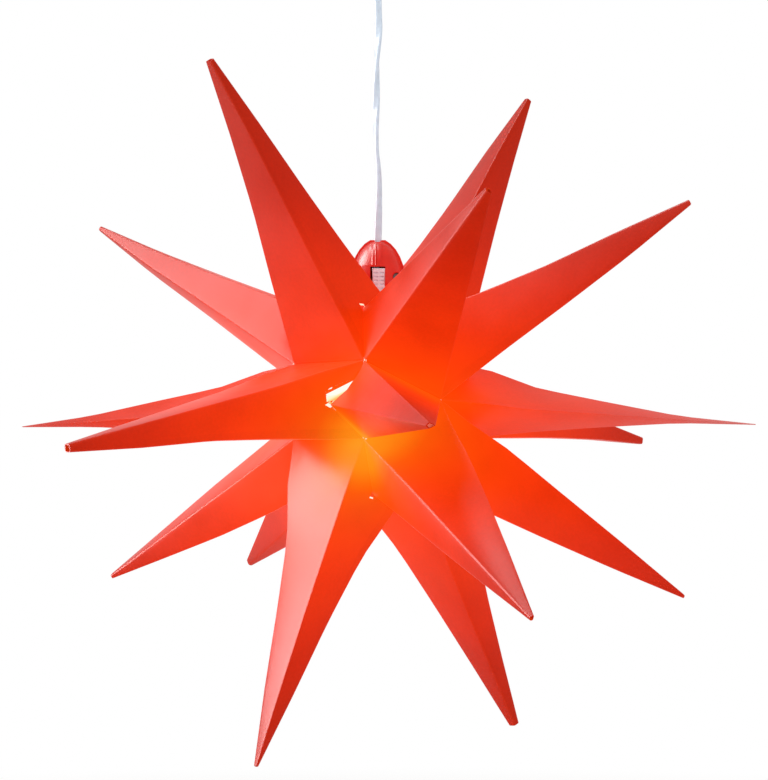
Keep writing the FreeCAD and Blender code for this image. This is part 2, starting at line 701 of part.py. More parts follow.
def make_lamp_cap():
    """The lamp's contact foot, its insulator and its screw shell."""
    foot_low = LAMP_SHELL_TOP + INSULATOR
    foot = revolved([(0, foot_low), (LAMP_FOOT_RADIUS, foot_low), (LAMP_FOOT_RADIUS - 0.5, LAMP_FOOT_TOP - 0.3),
                     (1.5, LAMP_FOOT_TOP), (0, LAMP_FOOT_TOP)])
    insulator_top = foot_low - FIT / 2
    insulator = revolved([(0, LAMP_SHELL_TOP), (LAMP_SHELL - SHELL_EDGE - FIT, LAMP_SHELL_TOP),
                          (LAMP_FOOT_RADIUS + 0.7, insulator_top), (0, insulator_top)])
    low = HOLDER_MOUTH - LAMP_NECK_DROP + FIT
    inner = LAMP_SHELL - SHELL_WALL
    lid = LAMP_SHELL_TOP - SHELL_WALL
    shell = revolved([(0, LAMP_SHELL_TOP), (LAMP_SHELL - SHELL_EDGE, LAMP_SHELL_TOP),
                      (LAMP_SHELL, LAMP_SHELL_TOP - SHELL_EDGE), (LAMP_SHELL, low), (inner, low), (inner, lid), (0, lid)])
    return foot, insulator, shell


def make_lamp():
    drop = LAMP_SHOULDER_Z - GLOBE_Z
    rim = math.sqrt(GLOBE_RADIUS ** 2 - drop ** 2)
    seat = math.sqrt((GLOBE_RADIUS - GLOBE_WALL) ** 2 - drop ** 2)
    plug = LAMP_SHELL - SHELL_WALL - FIT / 2
    neck = HOLDER_MOUTH - LAMP_NECK_DROP
    recess = LAMP_SHOULDER_Z + PLATE_RECESS
    body = revolved([(0, LAMP_PLUG_TOP), (plug, LAMP_PLUG_TOP), (plug, neck), (LAMP_NECK, neck),
                     (LAMP_NECK, neck - LAMP_NECK_HEIGHT), (LAMP_WAIST, LAMP_WAIST_Z), (rim, LAMP_SHOULDER_Z),
                     (seat, LAMP_SHOULDER_Z), (seat, recess), (0, recess)])
    plate = upright(seat - FIT, 0, 0, recess - FIT - PLATE_THICK, recess - FIT)
    globe = Part.makeSphere(GLOBE_RADIUS, Vector(0, 0, GLOBE_Z)).cut(globe_hollow())
    wide = 2 * GLOBE_RADIUS
    globe = globe.cut(box(-wide, wide, -wide, wide, LAMP_SHOULDER_Z, LAMP_SHOULDER_Z + wide))
    foot, insulator, shell = make_lamp_cap()
    return {"lamp_contact": foot, "lamp_insulator": insulator, "lamp_cap": shell, "lamp_body": body,
            "lamp_led_plate": plate, "lamp_globe": globe}


# Hanging parts, drawn below the ceiling

def hook_centre():
    """Height of the hook's bend, and how far its neck swings out to bring the seat under the shank."""
    reach = HOOK_NECK + HOOK_BEND
    lean = math.acos((HOOK_NECK - HOOK_SEAT / 2) / reach)
    return -HOOK_STRAIGHT - reach * math.sin(lean), lean


def make_ceiling_hook():
    centre, lean = hook_centre()
    half = HOOK_SEAT / 2

    def round_bend(angle, x):
        return Vector(x + HOOK_BEND * math.cos(angle), 0, centre + HOOK_BEND * math.sin(angle))

    def arc_round_bend(first, last, x):
        return Part.Arc(round_bend(first, x), round_bend((first + last) / 2, x), round_bend(last, x)).toShape()

    start = Vector(0, 0, -HOOK_STRAIGHT)
    neck = Vector(HOOK_NECK * (1 - math.cos(lean / 2)), 0, -HOOK_STRAIGHT - HOOK_NECK * math.sin(lean / 2))
    bottom = -math.pi / 2
    top = Vector(0, 0, -COLLAR_THICK / 2)
    path = Part.Wire([
        Part.makeLine(top, start),
        Part.Arc(start, neck, round_bend(lean, half)).toShape(),
        arc_round_bend(lean, bottom, half),
        Part.makeLine(round_bend(bottom, half), round_bend(bottom, -half)),
        arc_round_bend(bottom, math.radians(HOOK_END), -half),
    ])
    section = Part.Wire(Part.makeCircle(HOOK_WIRE, top, UP))
    wire = path.makePipeShell([section], True, False)
    root = -COLLAR_THICK / 3
    shank = revolved([(0, root), (SHANK_RADIUS, root), (SHANK_RADIUS, SHANK_LENGTH - SHANK_POINT), (0, SHANK_LENGTH)])
    collar = rod(COLLAR_RADIUS, UP * -COLLAR_THICK, HUB)
    return collar.fuse([shank, wire]).removeSplitter()


def make_eye():
    """Flat stamped eye on a headed stem."""
    low = hook_centre()[0] - HOOK_BEND
    centre = low + HOOK_WIRE + PART_GAP - EYE_INNER
    across = Vector(EYE_THICK / 2, 0, 0)
    middle = Vector(0, 0, centre)
    disc = rod(EYE_INNER + EYE_WIDTH, middle - across, middle + across)
    head = -GRIP_TOP - GRIP_CAP_HEIGHT + PAST
    stem = rod(STEM_RADIUS, UP * (head + PAST), UP * (centre - EYE_INNER - EYE_WIDTH / 2))
    solid = disc.fuse([stem, rod(STEM_HEAD, UP * head, UP * (head + STEM_HEAD_THICK))])
    return solid.cut(rod(EYE_INNER, middle - across * 2, middle + across * 2)).removeSplitter()


def make_grip_cap():
    top, bottom = -GRIP_TOP, -GRIP_TOP - GRIP_CAP_HEIGHT
    ledge = top - GRIP_CAP_WALL + PART_GAP
    bore = STEM_RADIUS + STEM_CLEAR
    socket = GRIP_SPIGOT + FIT
    return revolved([(bore, top), (GRIP_RADIUS - GRIP_SHOULDER, top), (GRIP_RADIUS, top - GRIP_SHOULDER),
                     (GRIP_RADIUS, bottom), (socket, bottom), (socket, ledge), (bore, ledge)])


def make_grip_body():
    top, bottom = -GRIP_TOP - GRIP_CAP_HEIGHT, -GRIP_BOTTOM
    well = STEM_HEAD + STEM_ROOM
    spigot = top + GRIP_SPIGOT_HEIGHT
    body = revolved([(well, spigot), (GRIP_SPIGOT, spigot), (GRIP_SPIGOT, top), (GRIP_RADIUS, top),
                     (GRIP_RADIUS, bottom + GRIP_TAPER_HEIGHT), (GRIP_RADIUS - GRIP_TAPER, bottom), (0, bottom),
                     (0, top - PAST), (well, top - PAST)])
    channel = flex_face(FLEX_WIDTH + 2 * FLEX_PLAY, FLEX_THICK + 2 * FLEX_PLAY, bottom - PAST)
    body = body.cut(channel.extrude(UP * (GRIP_HOLD + PAST)))
    return body.cut(lying(GRIP_SCREW + FIT / 2, 0, bottom + GRIP_SCREW_UP, -2 * GRIP_RADIUS, 0))


def make_grip_screw():
    z = -GRIP_BOTTOM + GRIP_SCREW_UP
    face = -GRIP_RADIUS - GRIP_SCREW_SLOT
    screw = lying(GRIP_SCREW, 0, z, face, -FLEX_THICK / 2 - FLEX_PLAY)
    return screw.cut(box(-GRIP_SCREW - PAST, GRIP_SCREW + PAST, face - PAST, face + GRIP_SCREW_SLOT,
                         z - GRIP_SCREW_SLOT / 2, z + GRIP_SCREW_SLOT / 2))


def star_parts():
    """Everything that is drawn about the hub's centre."""
    parts = {}
    for ring in ("front", "mid", "back"):
        for strip in range(STRIPS):
            parts["spike_%s_%d" % (ring, strip + 1)] = make_spike(ring, strip)
    front, rear = make_cap()
    parts.update({
        "closing_studs": make_studs(), "cap_front": front, "cap_rear": rear,
        "cap_screws": make_cap_screws(), "neck_ring": make_ring(), "strain_relief": make_strain_relief(),
        "cable_tail": make_cable_tail(), "cable_cores": make_cores(), "cable": make_cable(),
        "lamp_holder": make_holder(), "holder_skirt": make_skirt(), "terminal_screws": make_terminals(),
        "holder_sleeve": make_sleeve(), "holder_contact": make_holder_contact(),
    })
    parts.update(make_lamp())
    return parts


def hanging_parts():
    return {
        "ceiling_hook": make_ceiling_hook(), "swivel_eye": make_eye(), "grip_cap": make_grip_cap(),
        "grip_body": make_grip_body(), "grip_screw": make_grip_screw(),
    }


def main():
    os.makedirs("parts", exist_ok=True)
    parts = star_parts()
    for shape in parts.values():
        shape.translate(UP * -HUB_DROP)
    parts.update(hanging_parts())
    for node, shape in parts.items():
        if not shape.isValid():
            print("not valid:", node)
        shape.exportStep("parts/%s.step" % node)
    print(len(parts), "nodes,", sum(len(shape.Solids) for shape in parts.values()), "solids")


main()
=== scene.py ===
import bmesh
import bpy
import json
import math
from collections import namedtuple
from mathutils import Matrix, Vector

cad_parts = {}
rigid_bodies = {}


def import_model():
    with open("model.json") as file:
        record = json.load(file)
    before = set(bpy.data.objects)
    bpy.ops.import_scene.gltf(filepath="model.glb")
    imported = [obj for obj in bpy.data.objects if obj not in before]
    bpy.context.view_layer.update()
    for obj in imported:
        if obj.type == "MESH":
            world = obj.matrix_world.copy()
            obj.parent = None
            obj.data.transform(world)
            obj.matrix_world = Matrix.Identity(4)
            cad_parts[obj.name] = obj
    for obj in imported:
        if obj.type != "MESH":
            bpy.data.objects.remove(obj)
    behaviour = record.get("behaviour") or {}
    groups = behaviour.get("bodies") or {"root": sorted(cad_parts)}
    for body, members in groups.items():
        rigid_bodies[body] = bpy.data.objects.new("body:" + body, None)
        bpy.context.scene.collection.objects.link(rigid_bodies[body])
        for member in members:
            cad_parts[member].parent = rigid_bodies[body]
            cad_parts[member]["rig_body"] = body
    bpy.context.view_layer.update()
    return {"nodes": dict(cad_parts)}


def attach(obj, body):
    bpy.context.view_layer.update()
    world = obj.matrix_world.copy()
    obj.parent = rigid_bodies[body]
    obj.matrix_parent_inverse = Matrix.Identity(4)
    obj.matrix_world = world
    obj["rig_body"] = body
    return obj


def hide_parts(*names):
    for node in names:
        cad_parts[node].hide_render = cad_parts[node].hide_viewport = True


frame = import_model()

MM = 0.001
HUB = Vector((0, 0, -0.366))


# Camera: level with the hub, in front of the star

CAMERA_BACK = 2.2
FOCAL_PX = 3108.0
LONG_SIDE_PX = 780.0
SENSOR = 36.0
HUB_PX_OFF = (6.3, 9.7)     # how far the hub lies left of and below the picture's centre

eye = bpy.data.cameras.new("camera")
eye.sensor_width = SENSOR
eye.lens = FOCAL_PX * SENSOR / LONG_SIDE_PX
eye.shift_x = HUB_PX_OFF[0] / LONG_SIDE_PX
eye.shift_y = HUB_PX_OFF[1] / LONG_SIDE_PX
camera = bpy.data.objects.new("camera", eye)
camera.location = HUB + Vector((0, -CAMERA_BACK, 0))
camera.rotation_euler = (math.radians(90), 0, 0)
bpy.context.scene.collection.objects.link(camera)
bpy.context.scene.camera = camera


def new_piece(name, bm, body, node, materials):
    """A finished piece from its mesh: it rides on its body and stands for its CAD node."""
    mesh = bpy.data.meshes.new(name)
    bm.to_mesh(mesh)
    bm.free()
    if "custom_normal" in mesh.attributes:
        mesh.attributes.remove(mesh.attributes["custom_normal"])
    for material in materials:
        mesh.materials.append(material)
    piece = bpy.data.objects.new(name, mesh)
    bpy.context.scene.collection.objects.link(piece)
    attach(piece, body)
    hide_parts(node)
    return piece


def soften(piece, angle):
    """Smooth shading that keeps edges sharper than the angle, in degrees, and flats flat."""
    piece.data.shade_smooth()
    piece.data.set_sharp_from_angle(angle=math.radians(angle))
    weighted = piece.modifiers.new("flats", "WEIGHTED_NORMAL")
    weighted.mode = "FACE_AREA"
    weighted.weight = 100
    weighted.keep_sharp = True


# Materials

def shade(code):
    """sRGB hex to linear colour."""
    channels = [int(code[i:i + 2], 16) / 255 for i in (0, 2, 4)]
    return [c / 12.92 if c <= 0.04045 else ((c + 0.055) / 1.055) ** 2.4 for c in channels] + [1.0]


def feed(tree, node, inputs):
    """Gives a node's inputs their values, or the sockets that feed them."""
    for name, value in inputs.items():
        socket = node.inputs[name]
        if isinstance(value, bpy.types.NodeSocket):
            tree.links.new(value, socket)
        else:
            socket.default_value = value


def add(tree, kind, inputs=None, stops=(), **settings):
    """One node with its settings and links, and the stops of its ramp if it has one."""
    node = tree.nodes.new(kind)
    for name, value in settings.items():
        setattr(node, name, value)
    feed(tree, node, inputs or {})
    if stops:
        marks = node.color_ramp.elements
        while len(marks) < len(stops):
            marks.new(0.5)
        for mark, (place, code) in zip(marks, stops):
            mark.position = place
            mark.color = shade(code)
    return node


def new_material(name):
    material = bpy.data.materials.new(name)
    material.use_nodes = True
    tree = material.node_tree
    return material, tree, tree.nodes["Principled BSDF"]


MOST_NOISE = {"From Min": 0.3, "From Max": 0.7}     # nearly all of a noise pattern lies between these

# The lamp's light through the sheet is painted on as emission. The lamp shines down, so the painted glow is
# brightest a little below it, front and back alike, and reaches farther sideways
OUTSIDE_CENTRE = Vector((-0.010, 0.055, -0.030))
OUTSIDE_SHAPE = (0.7, 1.0, 1.0)
INSIDE_CENTRE = Vector((0, 0, -0.010))
INSIDE_SHAPE = (1.0, 1.0, 1.0)
GLOW_REACH = 0.3


def lamp_distance(tree, centre, shape):
    """Distance from the lamp's light, as a share of GLOW_REACH, front and back alike."""
    place = add(tree, "ShaderNodeTexCoord").outputs["Object"]
    apart = add(tree, "ShaderNodeVectorMath", {0: place, 1: HUB}, operation="SUBTRACT")
    parts = add(tree, "ShaderNodeSeparateXYZ", {0: apart.outputs["Vector"]})
    deep = add(tree, "ShaderNodeMath", {0: parts.outputs["Y"]}, operation="ABSOLUTE")
    folded = add(tree, "ShaderNodeCombineXYZ", {
        "X": parts.outputs["X"], "Y": deep.outputs["Value"], "Z": parts.outputs["Z"]})
    off = add(tree, "ShaderNodeVectorMath", {0: folded.outputs["Vector"], 1: centre}, operation="SUBTRACT")
    flat = add(tree, "ShaderNodeVectorMath", {0: off.outputs["Vector"], 1: shape}, operation="MULTIPLY")
    far = add(tree, "ShaderNodeVectorMath", {0: flat.outputs["Vector"]}, operation="LENGTH")
    return add(tree, "ShaderNodeMath", {0: far.outputs["Value"], 1: GLOW_REACH}, operation="DIVIDE").outputs[0]


SHEET_WAVE = 40 * MM
SHEET_DUST = 2.2 * MM
SHEET_MOTTLE = (0.94, 1.04)
SHEET_LIGHT = (0.9, 1.08)   # the painted light through its thicker and its thinner places
SHEET_GLOSS = (0.31, 0.38)
CREASE_BAND = (0.35, 1.3)   # mm from a crease: palest up to the first, plain from the second
CREASE_PALE = "E8604A"
FLAP_EDGE = 0.94            # the glue flap's shade ends between this share of its width and its edge
FLAP_DIM = 0.94             # and this share of the painted light comes through it


def calendered_sheet(name, colour, glow, centre, shape, crease_white):
    """Translucent polypropylene sheet: satin, paler where it has been creased, with the lamp's light
    from behind painted on as emission.

    The painted glow is brightest beside the lamp and fades to plain red along each spike. The sheet is slightly
    uneven, as calendered sheet is, in long soft waves, with a fine dusty mottle.
    """
    material, tree, finish = new_material(name)
    place = add(tree, "ShaderNodeTexCoord").outputs["Object"]
    waves = add(tree, "ShaderNodeTexNoise", {"Vector": place, "Scale": 1 / SHEET_WAVE, "Detail": 2.0})
    dust = add(tree, "ShaderNodeTexNoise", {"Vector": place, "Scale": 1 / SHEET_DUST, "Detail": 3.0})
    even = add(tree, "ShaderNodeMapRange", {
        "Value": dust.outputs["Fac"], "From Min": 0.35, "From Max": 0.65,
        "To Min": SHEET_MOTTLE[0], "To Max": SHEET_MOTTLE[1]})
    tint = add(tree, "ShaderNodeMixRGB", {
        "Fac": 1.0, "Color1": shade(colour), "Color2": even.outputs["Result"]}, blend_type="MULTIPLY")
    # UV: across, millimetres from the nearest crease; up, widths of the glue flap from its crease
    fold = add(tree, "ShaderNodeSeparateXYZ", {0: add(tree, "ShaderNodeUVMap", uv_map="fold").outputs["UV"]})
    near = add(tree, "ShaderNodeMapRange", {
        "Value": fold.outputs["X"], "From Min": CREASE_BAND[0], "From Max": CREASE_BAND[1],
        "To Min": crease_white, "To Max": 0.0})
    creased = add(tree, "ShaderNodeMixRGB", {
        "Fac": near.outputs["Result"], "Color1": tint.outputs["Color"], "Color2": shade(CREASE_PALE)})
    # Painted light: the lamp's light through the sheet as emission, less of it through the double thickness
    # of the glue flap
    warm = add(tree, "ShaderNodeValToRGB", {"Fac": lamp_distance(tree, centre, shape)}, stops=glow)
    flap = add(tree, "ShaderNodeMapRange", {
        "Value": fold.outputs["Y"], "From Min": FLAP_EDGE, "From Max": 1.0, "To Min": FLAP_DIM, "To Max": 1.0})
    thick = add(tree, "ShaderNodeMapRange", {
        "Value": waves.outputs["Fac"], **MOST_NOISE, "To Min": SHEET_LIGHT[0], "To Max": SHEET_LIGHT[1]})
    through = add(tree, "ShaderNodeMath", {0: flap.outputs["Result"], 1: thick.outputs["Result"]},
                  operation="MULTIPLY")
    lit = add(tree, "ShaderNodeMixRGB", {
        "Fac": 1.0, "Color1": warm.outputs["Color"], "Color2": through.outputs["Value"]}, blend_type="MULTIPLY")
    gloss = add(tree, "ShaderNodeMapRange", {
        "Value": waves.outputs["Fac"], **MOST_NOISE, "To Min": SHEET_GLOSS[0], "To Max": SHEET_GLOSS[1]})
    swell = add(tree, "ShaderNodeBump", {
        "Height": waves.outputs["Fac"], "Strength": 0.35, "Distance": 1.2 * MM})
    grain = add(tree, "ShaderNodeBump", {
        "Height": dust.outputs["Fac"], "Strength": 0.12, "Distance": 0.05 * MM,
        "Normal": swell.outputs["Normal"]})
    feed(tree, finish, {
        "Base Color": creased.outputs["Color"], "Emission Color": lit.outputs["Color"],
        "Emission Strength": 1.0, "Roughness": gloss.outputs["Result"], "Normal": grain.outputs["Normal"],
        "IOR": 1.49, "Specular IOR Level": 0.06})
    return material


PLASTIC_FLOW = 6 * MM
PLASTIC_SPREAD = 0.05       # how far the roughness strays from its mean


def moulded_plastic(name, colour, gloss, grain, shine=0.5):
    """Injection-moulded plastic: an even colour with faint flow marks, and the fine sparked grain
    of the mould, in metres between bumps."""
    material, tree, finish = new_material(name)
    place = add(tree, "ShaderNodeTexCoord").outputs["Object"]
    flow = add(tree, "ShaderNodeTexNoise", {"Vector": place, "Scale": 1 / PLASTIC_FLOW, "Detail": 2.0})
    spark = add(tree, "ShaderNodeTexNoise", {"Vector": place, "Scale": 1 / grain, "Detail": 2.0})
    even = add(tree, "ShaderNodeMapRange", {
        "Value": flow.outputs["Fac"], **MOST_NOISE, "To Min": 0.93, "To Max": 1.03})
    tint = add(tree, "ShaderNodeMixRGB", {
        "Fac": 1.0, "Color1": shade(colour), "Color2": even.outputs["Result"]}, blend_type="MULTIPLY")
    rough = add(tree, "ShaderNodeMapRange", {
        "Value": spark.outputs["Fac"], **MOST_NOISE,
        "To Min": gloss - PLASTIC_SPREAD, "To Max": gloss + PLASTIC_SPREAD})
    bump = add(tree, "ShaderNodeBump", {
        "Height": spark.outputs["Fac"], "Strength": 0.25, "Distance": 0.04 * MM})
    feed(tree, finish, {
        "Base Color": tint.outputs["Color"], "Roughness": rough.outputs["Result"],
        "Normal": bump.outputs["Normal"], "IOR": 1.5, "Specular IOR Level": shine})
    return material


METAL_SPREAD = 0.07         # how far the roughness strays from its mean


def plated_metal(name, colour, gloss, brushed):
    """Plated or drawn metal with fine marks along one way: brushed gives their size in metres."""
    material, tree, finish = new_material(name)
    place = add(tree, "ShaderNodeTexCoord").outputs["Object"]
    along = add(tree, "ShaderNodeMapping", {"Vector": place, "Scale": [1 / length for length in brushed]})
    marks = add(tree, "ShaderNodeTexNoise", {"Vector": along.outputs["Vector"], "Scale": 1.0, "Detail": 3.0})
    worn = add(tree, "ShaderNodeMapRange", {
        "Value": marks.outputs["Fac"], **MOST_NOISE, "To Min": 0.86, "To Max": 1.04})
    tint = add(tree, "ShaderNodeMixRGB", {
        "Fac": 1.0, "Color1": shade(colour), "Color2": worn.outputs["Result"]}, blend_type="MULTIPLY")
    rough = add(tree, "ShaderNodeMapRange", {
        "Value": marks.outputs["Fac"], **MOST_NOISE,
        "To Min": gloss - METAL_SPREAD, "To Max": gloss + METAL_SPREAD})
    bump = add(tree, "ShaderNodeBump", {
        "Height": marks.outputs["Fac"], "Strength": 0.3, "Distance": 0.03 * MM})
    feed(tree, finish, {
        "Base Color": tint.outputs["Color"], "Roughness": rough.outputs["Result"],
        "Normal": bump.outputs["Normal"], "Metallic": 1.0})
    return material


CORE_SCUFF = 1.5 * MM


def two_core_pvc():
    """Wire sheaths, brown on one side and blue on the other, with a slight waxy gloss."""
    material, tree, finish = new_material("core_sheath_pvc")
    place = add(tree, "ShaderNodeTexCoord").outputs["Object"]
    side = add(tree, "ShaderNodeSeparateXYZ", {0: place})
    choice = add(tree, "ShaderNodeMath", {0: side.outputs["X"], 1: 0.0}, operation="GREATER_THAN")
    scuff = add(tree, "ShaderNodeTexNoise", {"Vector": place, "Scale": 1 / CORE_SCUFF, "Detail": 2.0})
    tint = add(tree, "ShaderNodeMixRGB", {
        "Fac": choice.outputs["Value"], "Color1": shade("6B4327"), "Color2": shade("2C5FA8")})
    rough = add(tree, "ShaderNodeMapRange", {"Value": scuff.outputs["Fac"], "To Min": 0.3, "To Max": 0.5})
    feed(tree, finish, {"Base Color": tint.outputs["Color"], "Roughness": rough.outputs["Result"]})
    return material


GLOBE_CLOUD = 12 * MM


def opal_diffuser():
    """The lit lamp globe: inside-frosted polycarbonate, a warm white that clouds very slightly."""
    material, tree, finish = new_material("globe_opal_polycarbonate")
    place = add(tree, "ShaderNodeTexCoord").outputs["Object"]
    cloud = add(tree, "ShaderNodeTexNoise", {"Vector": place, "Scale": 1 / GLOBE_CLOUD, "Detail": 1.0})
    warm = add(tree, "ShaderNodeValToRGB", {"Fac": cloud.outputs["Fac"]},
               stops=[(0.3, "FFE9B8"), (0.7, "FFF6DC")])
    feed(tree, finish, {
        "Emission Color": warm.outputs["Color"], "Base Color": warm.outputs["Color"],
        "Emission Strength": 1.0, "Roughness": 0.3})
    return material


# The lamp's light through the sheet, painted on, seen from outside: amber over the lamp, red-orange round it,
# deep red at the tips
SHEET_RED = "AD1D07"
OUTSIDE_PAINTED_GLOW = [(0.0, "D09A1C"), (0.060, "D08412"), (0.093, "CE6A0A"), (0.117, "CE5606"), (0.150, "CE4A05"),
                (0.183, "CE4204"), (0.217, "CE3B04"), (0.250, "CB3604"), (0.283, "C53104"), (0.317, "BD2C03"),
                (0.367, "B82A03"), (0.433, "A82203"), (0.517, "921A02"), (0.617, "7A1402"), (0.733, "6A1202"),
                (0.900, "5C1102")]
# Painted glow from inside, where the lamp shines straight on it: nearly white at the mouths
INSIDE_PAINTED_GLOW = [(0.22, "FFFDF2"), (0.34, "FFF2C4"), (0.46, "FFB84C"), (0.62, "E8601A"), (0.95, "801804")]
sheet_out = calendered_sheet("sheet_red_polypropylene", SHEET_RED, OUTSIDE_PAINTED_GLOW, OUTSIDE_CENTRE,
                             OUTSIDE_SHAPE, 0.1)
sheet_in = calendered_sheet("sheet_red_polypropylene_inside", SHEET_RED, INSIDE_PAINTED_GLOW, INSIDE_CENTRE,
                            INSIDE_SHAPE, 0.0)

# Moulded: a clear red with a wide soft highlight, and a darker, tighter red for the studs
cap_red = moulded_plastic("cap_red_polypropylene", "F23020", 0.34, 0.9 * MM, shine=0.16)
stud_red = moulded_plastic("stud_red_nylon", "C8280F", 0.3, 0.8 * MM)
# Extruded and moulded PVC: cool white, the flex dull, the boot with more gloss on its ribs
flex_white = moulded_plastic("flex_white_pvc", "E0F0FF", 0.34, 1.2 * MM, shine=0.2)
relief_white = moulded_plastic("strain_relief_white_pvc", "FAF6FF", 0.36, 0.8 * MM)
# Nylon is waxy and slightly yellow, thermoset dense and cream, lamp plastic a clean satin white
ring_white = moulded_plastic("ring_white_nylon", "DCD8CC", 0.45, 0.9 * MM)
grip_white = moulded_plastic("grip_white_nylon", "E9E9E4", 0.38, 0.9 * MM)
holder_white = moulded_plastic("holder_white_thermoset", "E6E2D6", 0.4, 0.7 * MM)
housing_white = moulded_plastic("lamp_housing_white_pbt", "EDECE6", 0.42, 0.8 * MM)
# Solder mask is a flat bright white, and vitreous glass black with sharp reflections
board_white = moulded_plastic("led_board_white_solder_mask", "F0F0EA", 0.3, 1.2 * MM)
black_glass = moulded_plastic("insulator_black_glass", "0C0C0D", 0.12, 1.0 * MM)
# Zinc plate is grey with broken highlights, on drawn wire streaked along it; the screws' zinc is darker,
# partly as painted shade where their heads sit sunk in the cap; brass is warm and rolled across; nickel
# plate is pale and nearly a mirror
screw_zinc_shaded = plated_metal("screw_zinc_plated_steel", "7E8082", 0.38, (0.6 * MM, 0.6 * MM, 4.0 * MM))
hook_zinc = plated_metal("hook_zinc_plated_wire", "BFC1C3", 0.3, (0.5 * MM, 0.5 * MM, 6.0 * MM))
brass = plated_metal("terminal_stamped_brass", "C9A45C", 0.28, (3.0 * MM, 0.6 * MM, 0.6 * MM))
nickel = plated_metal("lamp_shell_nickel_plated_brass", "C6C4BC", 0.24, (5.0 * MM, 5.0 * MM, 0.5 * MM))
cores = two_core_pvc()
opal = opal_diffuser()


# Flex: two cores side by side in one white sheath, hanging taut and twisted as it left its coil

FLEX_ROUTE = ((0, 0, -0.2545), (0.0003, 0, -0.2460), (0.0009, 0, -0.2240), (0.0008, 0, -0.2030),
              (-0.0010, 0, -0.1880), (-0.0013, 0, -0.1580), (-0.0006, 0, -0.1260), (0.0008, 0, -0.1050),
              (0.0004, 0, -0.0900), (0, 0, -0.0780), (0, 0, -0.0600))
# Height, and how far the flex has twisted there, degrees
FLEX_TWIST = ((-0.2545, -8), (-0.2403, 18), (-0.2275, 45), (-0.2105, 64), (-0.1964, 84), (-0.1858, 92),
              (-0.1766, 101), (-0.1681, 122), (-0.1610, 148), (-0.1540, 175), (-0.1469, 205),
              (-0.1384, 235), (-0.1299, 262), (-0.1214, 288), (-0.1130, 318), (-0.1045, 350),
              (-0.0975, 378), (-0.0904, 392), (-0.0833, 382), (-0.0770, 360), (-0.0600, 360))
FLEX_THICK = 3.2 * MM
FLEX_CORE_OFF = 1.1 * MM    # how far each core's centre lies from the middle
FLEX_GROOVE = 0.82          # the thickness at the groove between the cores, as a share
FLEX_SIDES = 24
FLEX_MIDDLE = 0.1 * MM      # points of its outline this near the middle are in the groove
FLEX_SHARP = 60
ROUTE_STEPS = 14


def route_line(points):
    """Points along the smooth line of a route."""
    route = bpy.data.curves.new("route", "CURVE")
    route.dimensions = "3D"
    route.resolution_u = ROUTE_STEPS
    spline = route.splines.new("NURBS")
    spline.points.add(len(points) - 1)
    for point, place in zip(spline.points, points):
        point.co = (*place, 1)
    spline.order_u = 3
    spline.use_endpoint_u = True
    holder = bpy.data.objects.new("route", route)
    line = bpy.data.meshes.new_from_object(holder)
    found = [v.co.copy() for v in line.vertices]
    bpy.data.objects.remove(holder)
    bpy.data.meshes.remove(line)
    return found


def flex_twist(z):
    for (low, a), (high, b) in zip(FLEX_TWIST, FLEX_TWIST[1:]):
        if z <= high:
            return math.radians(a + (b - a) * (z - low) / (high - low))
    return math.radians(FLEX_TWIST[-1][1])


def make_flex():
    line = route_line(FLEX_ROUTE)
    bm = bmesh.new()
    bmesh.ops.create_circle(bm, cap_ends=False, segments=FLEX_SIDES, radius=FLEX_THICK / 2)
    for v in bm.verts:
        if abs(v.co.x) > FLEX_MIDDLE:
            v.co.x += math.copysign(FLEX_CORE_OFF, v.co.x)
        else:
            v.co.y *= FLEX_GROOVE
    places = []
    for i, point in enumerate(line):
        ahead = line[min(i + 1, len(line) - 1)] - line[max(i - 1, 0)]
        turn = Vector((0, 0, 1)).rotation_difference(ahead.normalized()).to_matrix().to_4x4()
        places.append(Matrix.Translation(point) @ turn @ Matrix.Rotation(flex_twist(point.z), 4, "Z"))
    bmesh.ops.transform(bm, matrix=places[0], verts=bm.verts)
    rim = list(bm.edges)
    bmesh.ops.contextual_create(bm, geom=rim)
    for before, after in zip(places, places[1:]):
        grown = bmesh.ops.extrude_edge_only(bm, edges=rim)["geom"]
        rim = [e for e in grown if isinstance(e, bmesh.types.BMEdge)]
        moved = [v for v in grown if isinstance(v, bmesh.types.BMVert)]
        bmesh.ops.transform(bm, matrix=after @ before.inverted(), verts=moved)
    bmesh.ops.contextual_create(bm, geom=rim)
    bmesh.ops.recalc_face_normals(bm, faces=bm.faces)
    piece = new_piece("flex_twin", bm, "star", "cable", [flex_white])
    soften(piece, FLEX_SHARP)


make_flex()


# Copies of CAD nodes, merged and finished

WELD = 0.002 * MM
FLAT_WITHIN = math.radians(0.4)
CUT_SNAP = 0.001 * MM


def merged(node):
    """A CAD node's mesh with its loose triangles joined into whole flats."""
    bm = bmesh.new()
    bm.from_mesh(frame["nodes"][node].data)
    bmesh.ops.remove_doubles(bm, verts=bm.verts, dist=WELD)
    bmesh.ops.dissolve_limit(bm, angle_limit=FLAT_WITHIN, verts=bm.verts, edges=bm.edges)
    return bm


def cut(bm, faces, place, out):
    """Cuts the faces in two along a plane, and keeps both halves."""
    edges = {e for f in faces for e in f.edges}
    verts = {v for f in faces for v in f.verts}
    bmesh.ops.bisect_plane(bm, geom=list(faces) + list(edges) + list(verts), dist=CUT_SNAP, plane_co=place,
                           plane_no=out)


# Spikes

STATION_FROM = 78 * MM      # each spike's sheet is divided across from here out, so that it can bow
STATION_STEP = 16 * MM
STATION_CLEAR = 6 * MM
FAN_SHARES = (0.2, 0.35, 0.5, 0.65, 0.8)
CREASE_ROUND = 0.9 * MM
BULGE = 0.016               # how far a panel bows out, as a share of its width
BULGE_FROM, BULGE_FULL = 75 * MM, 125 * MM
SHEET_SHARP = 50

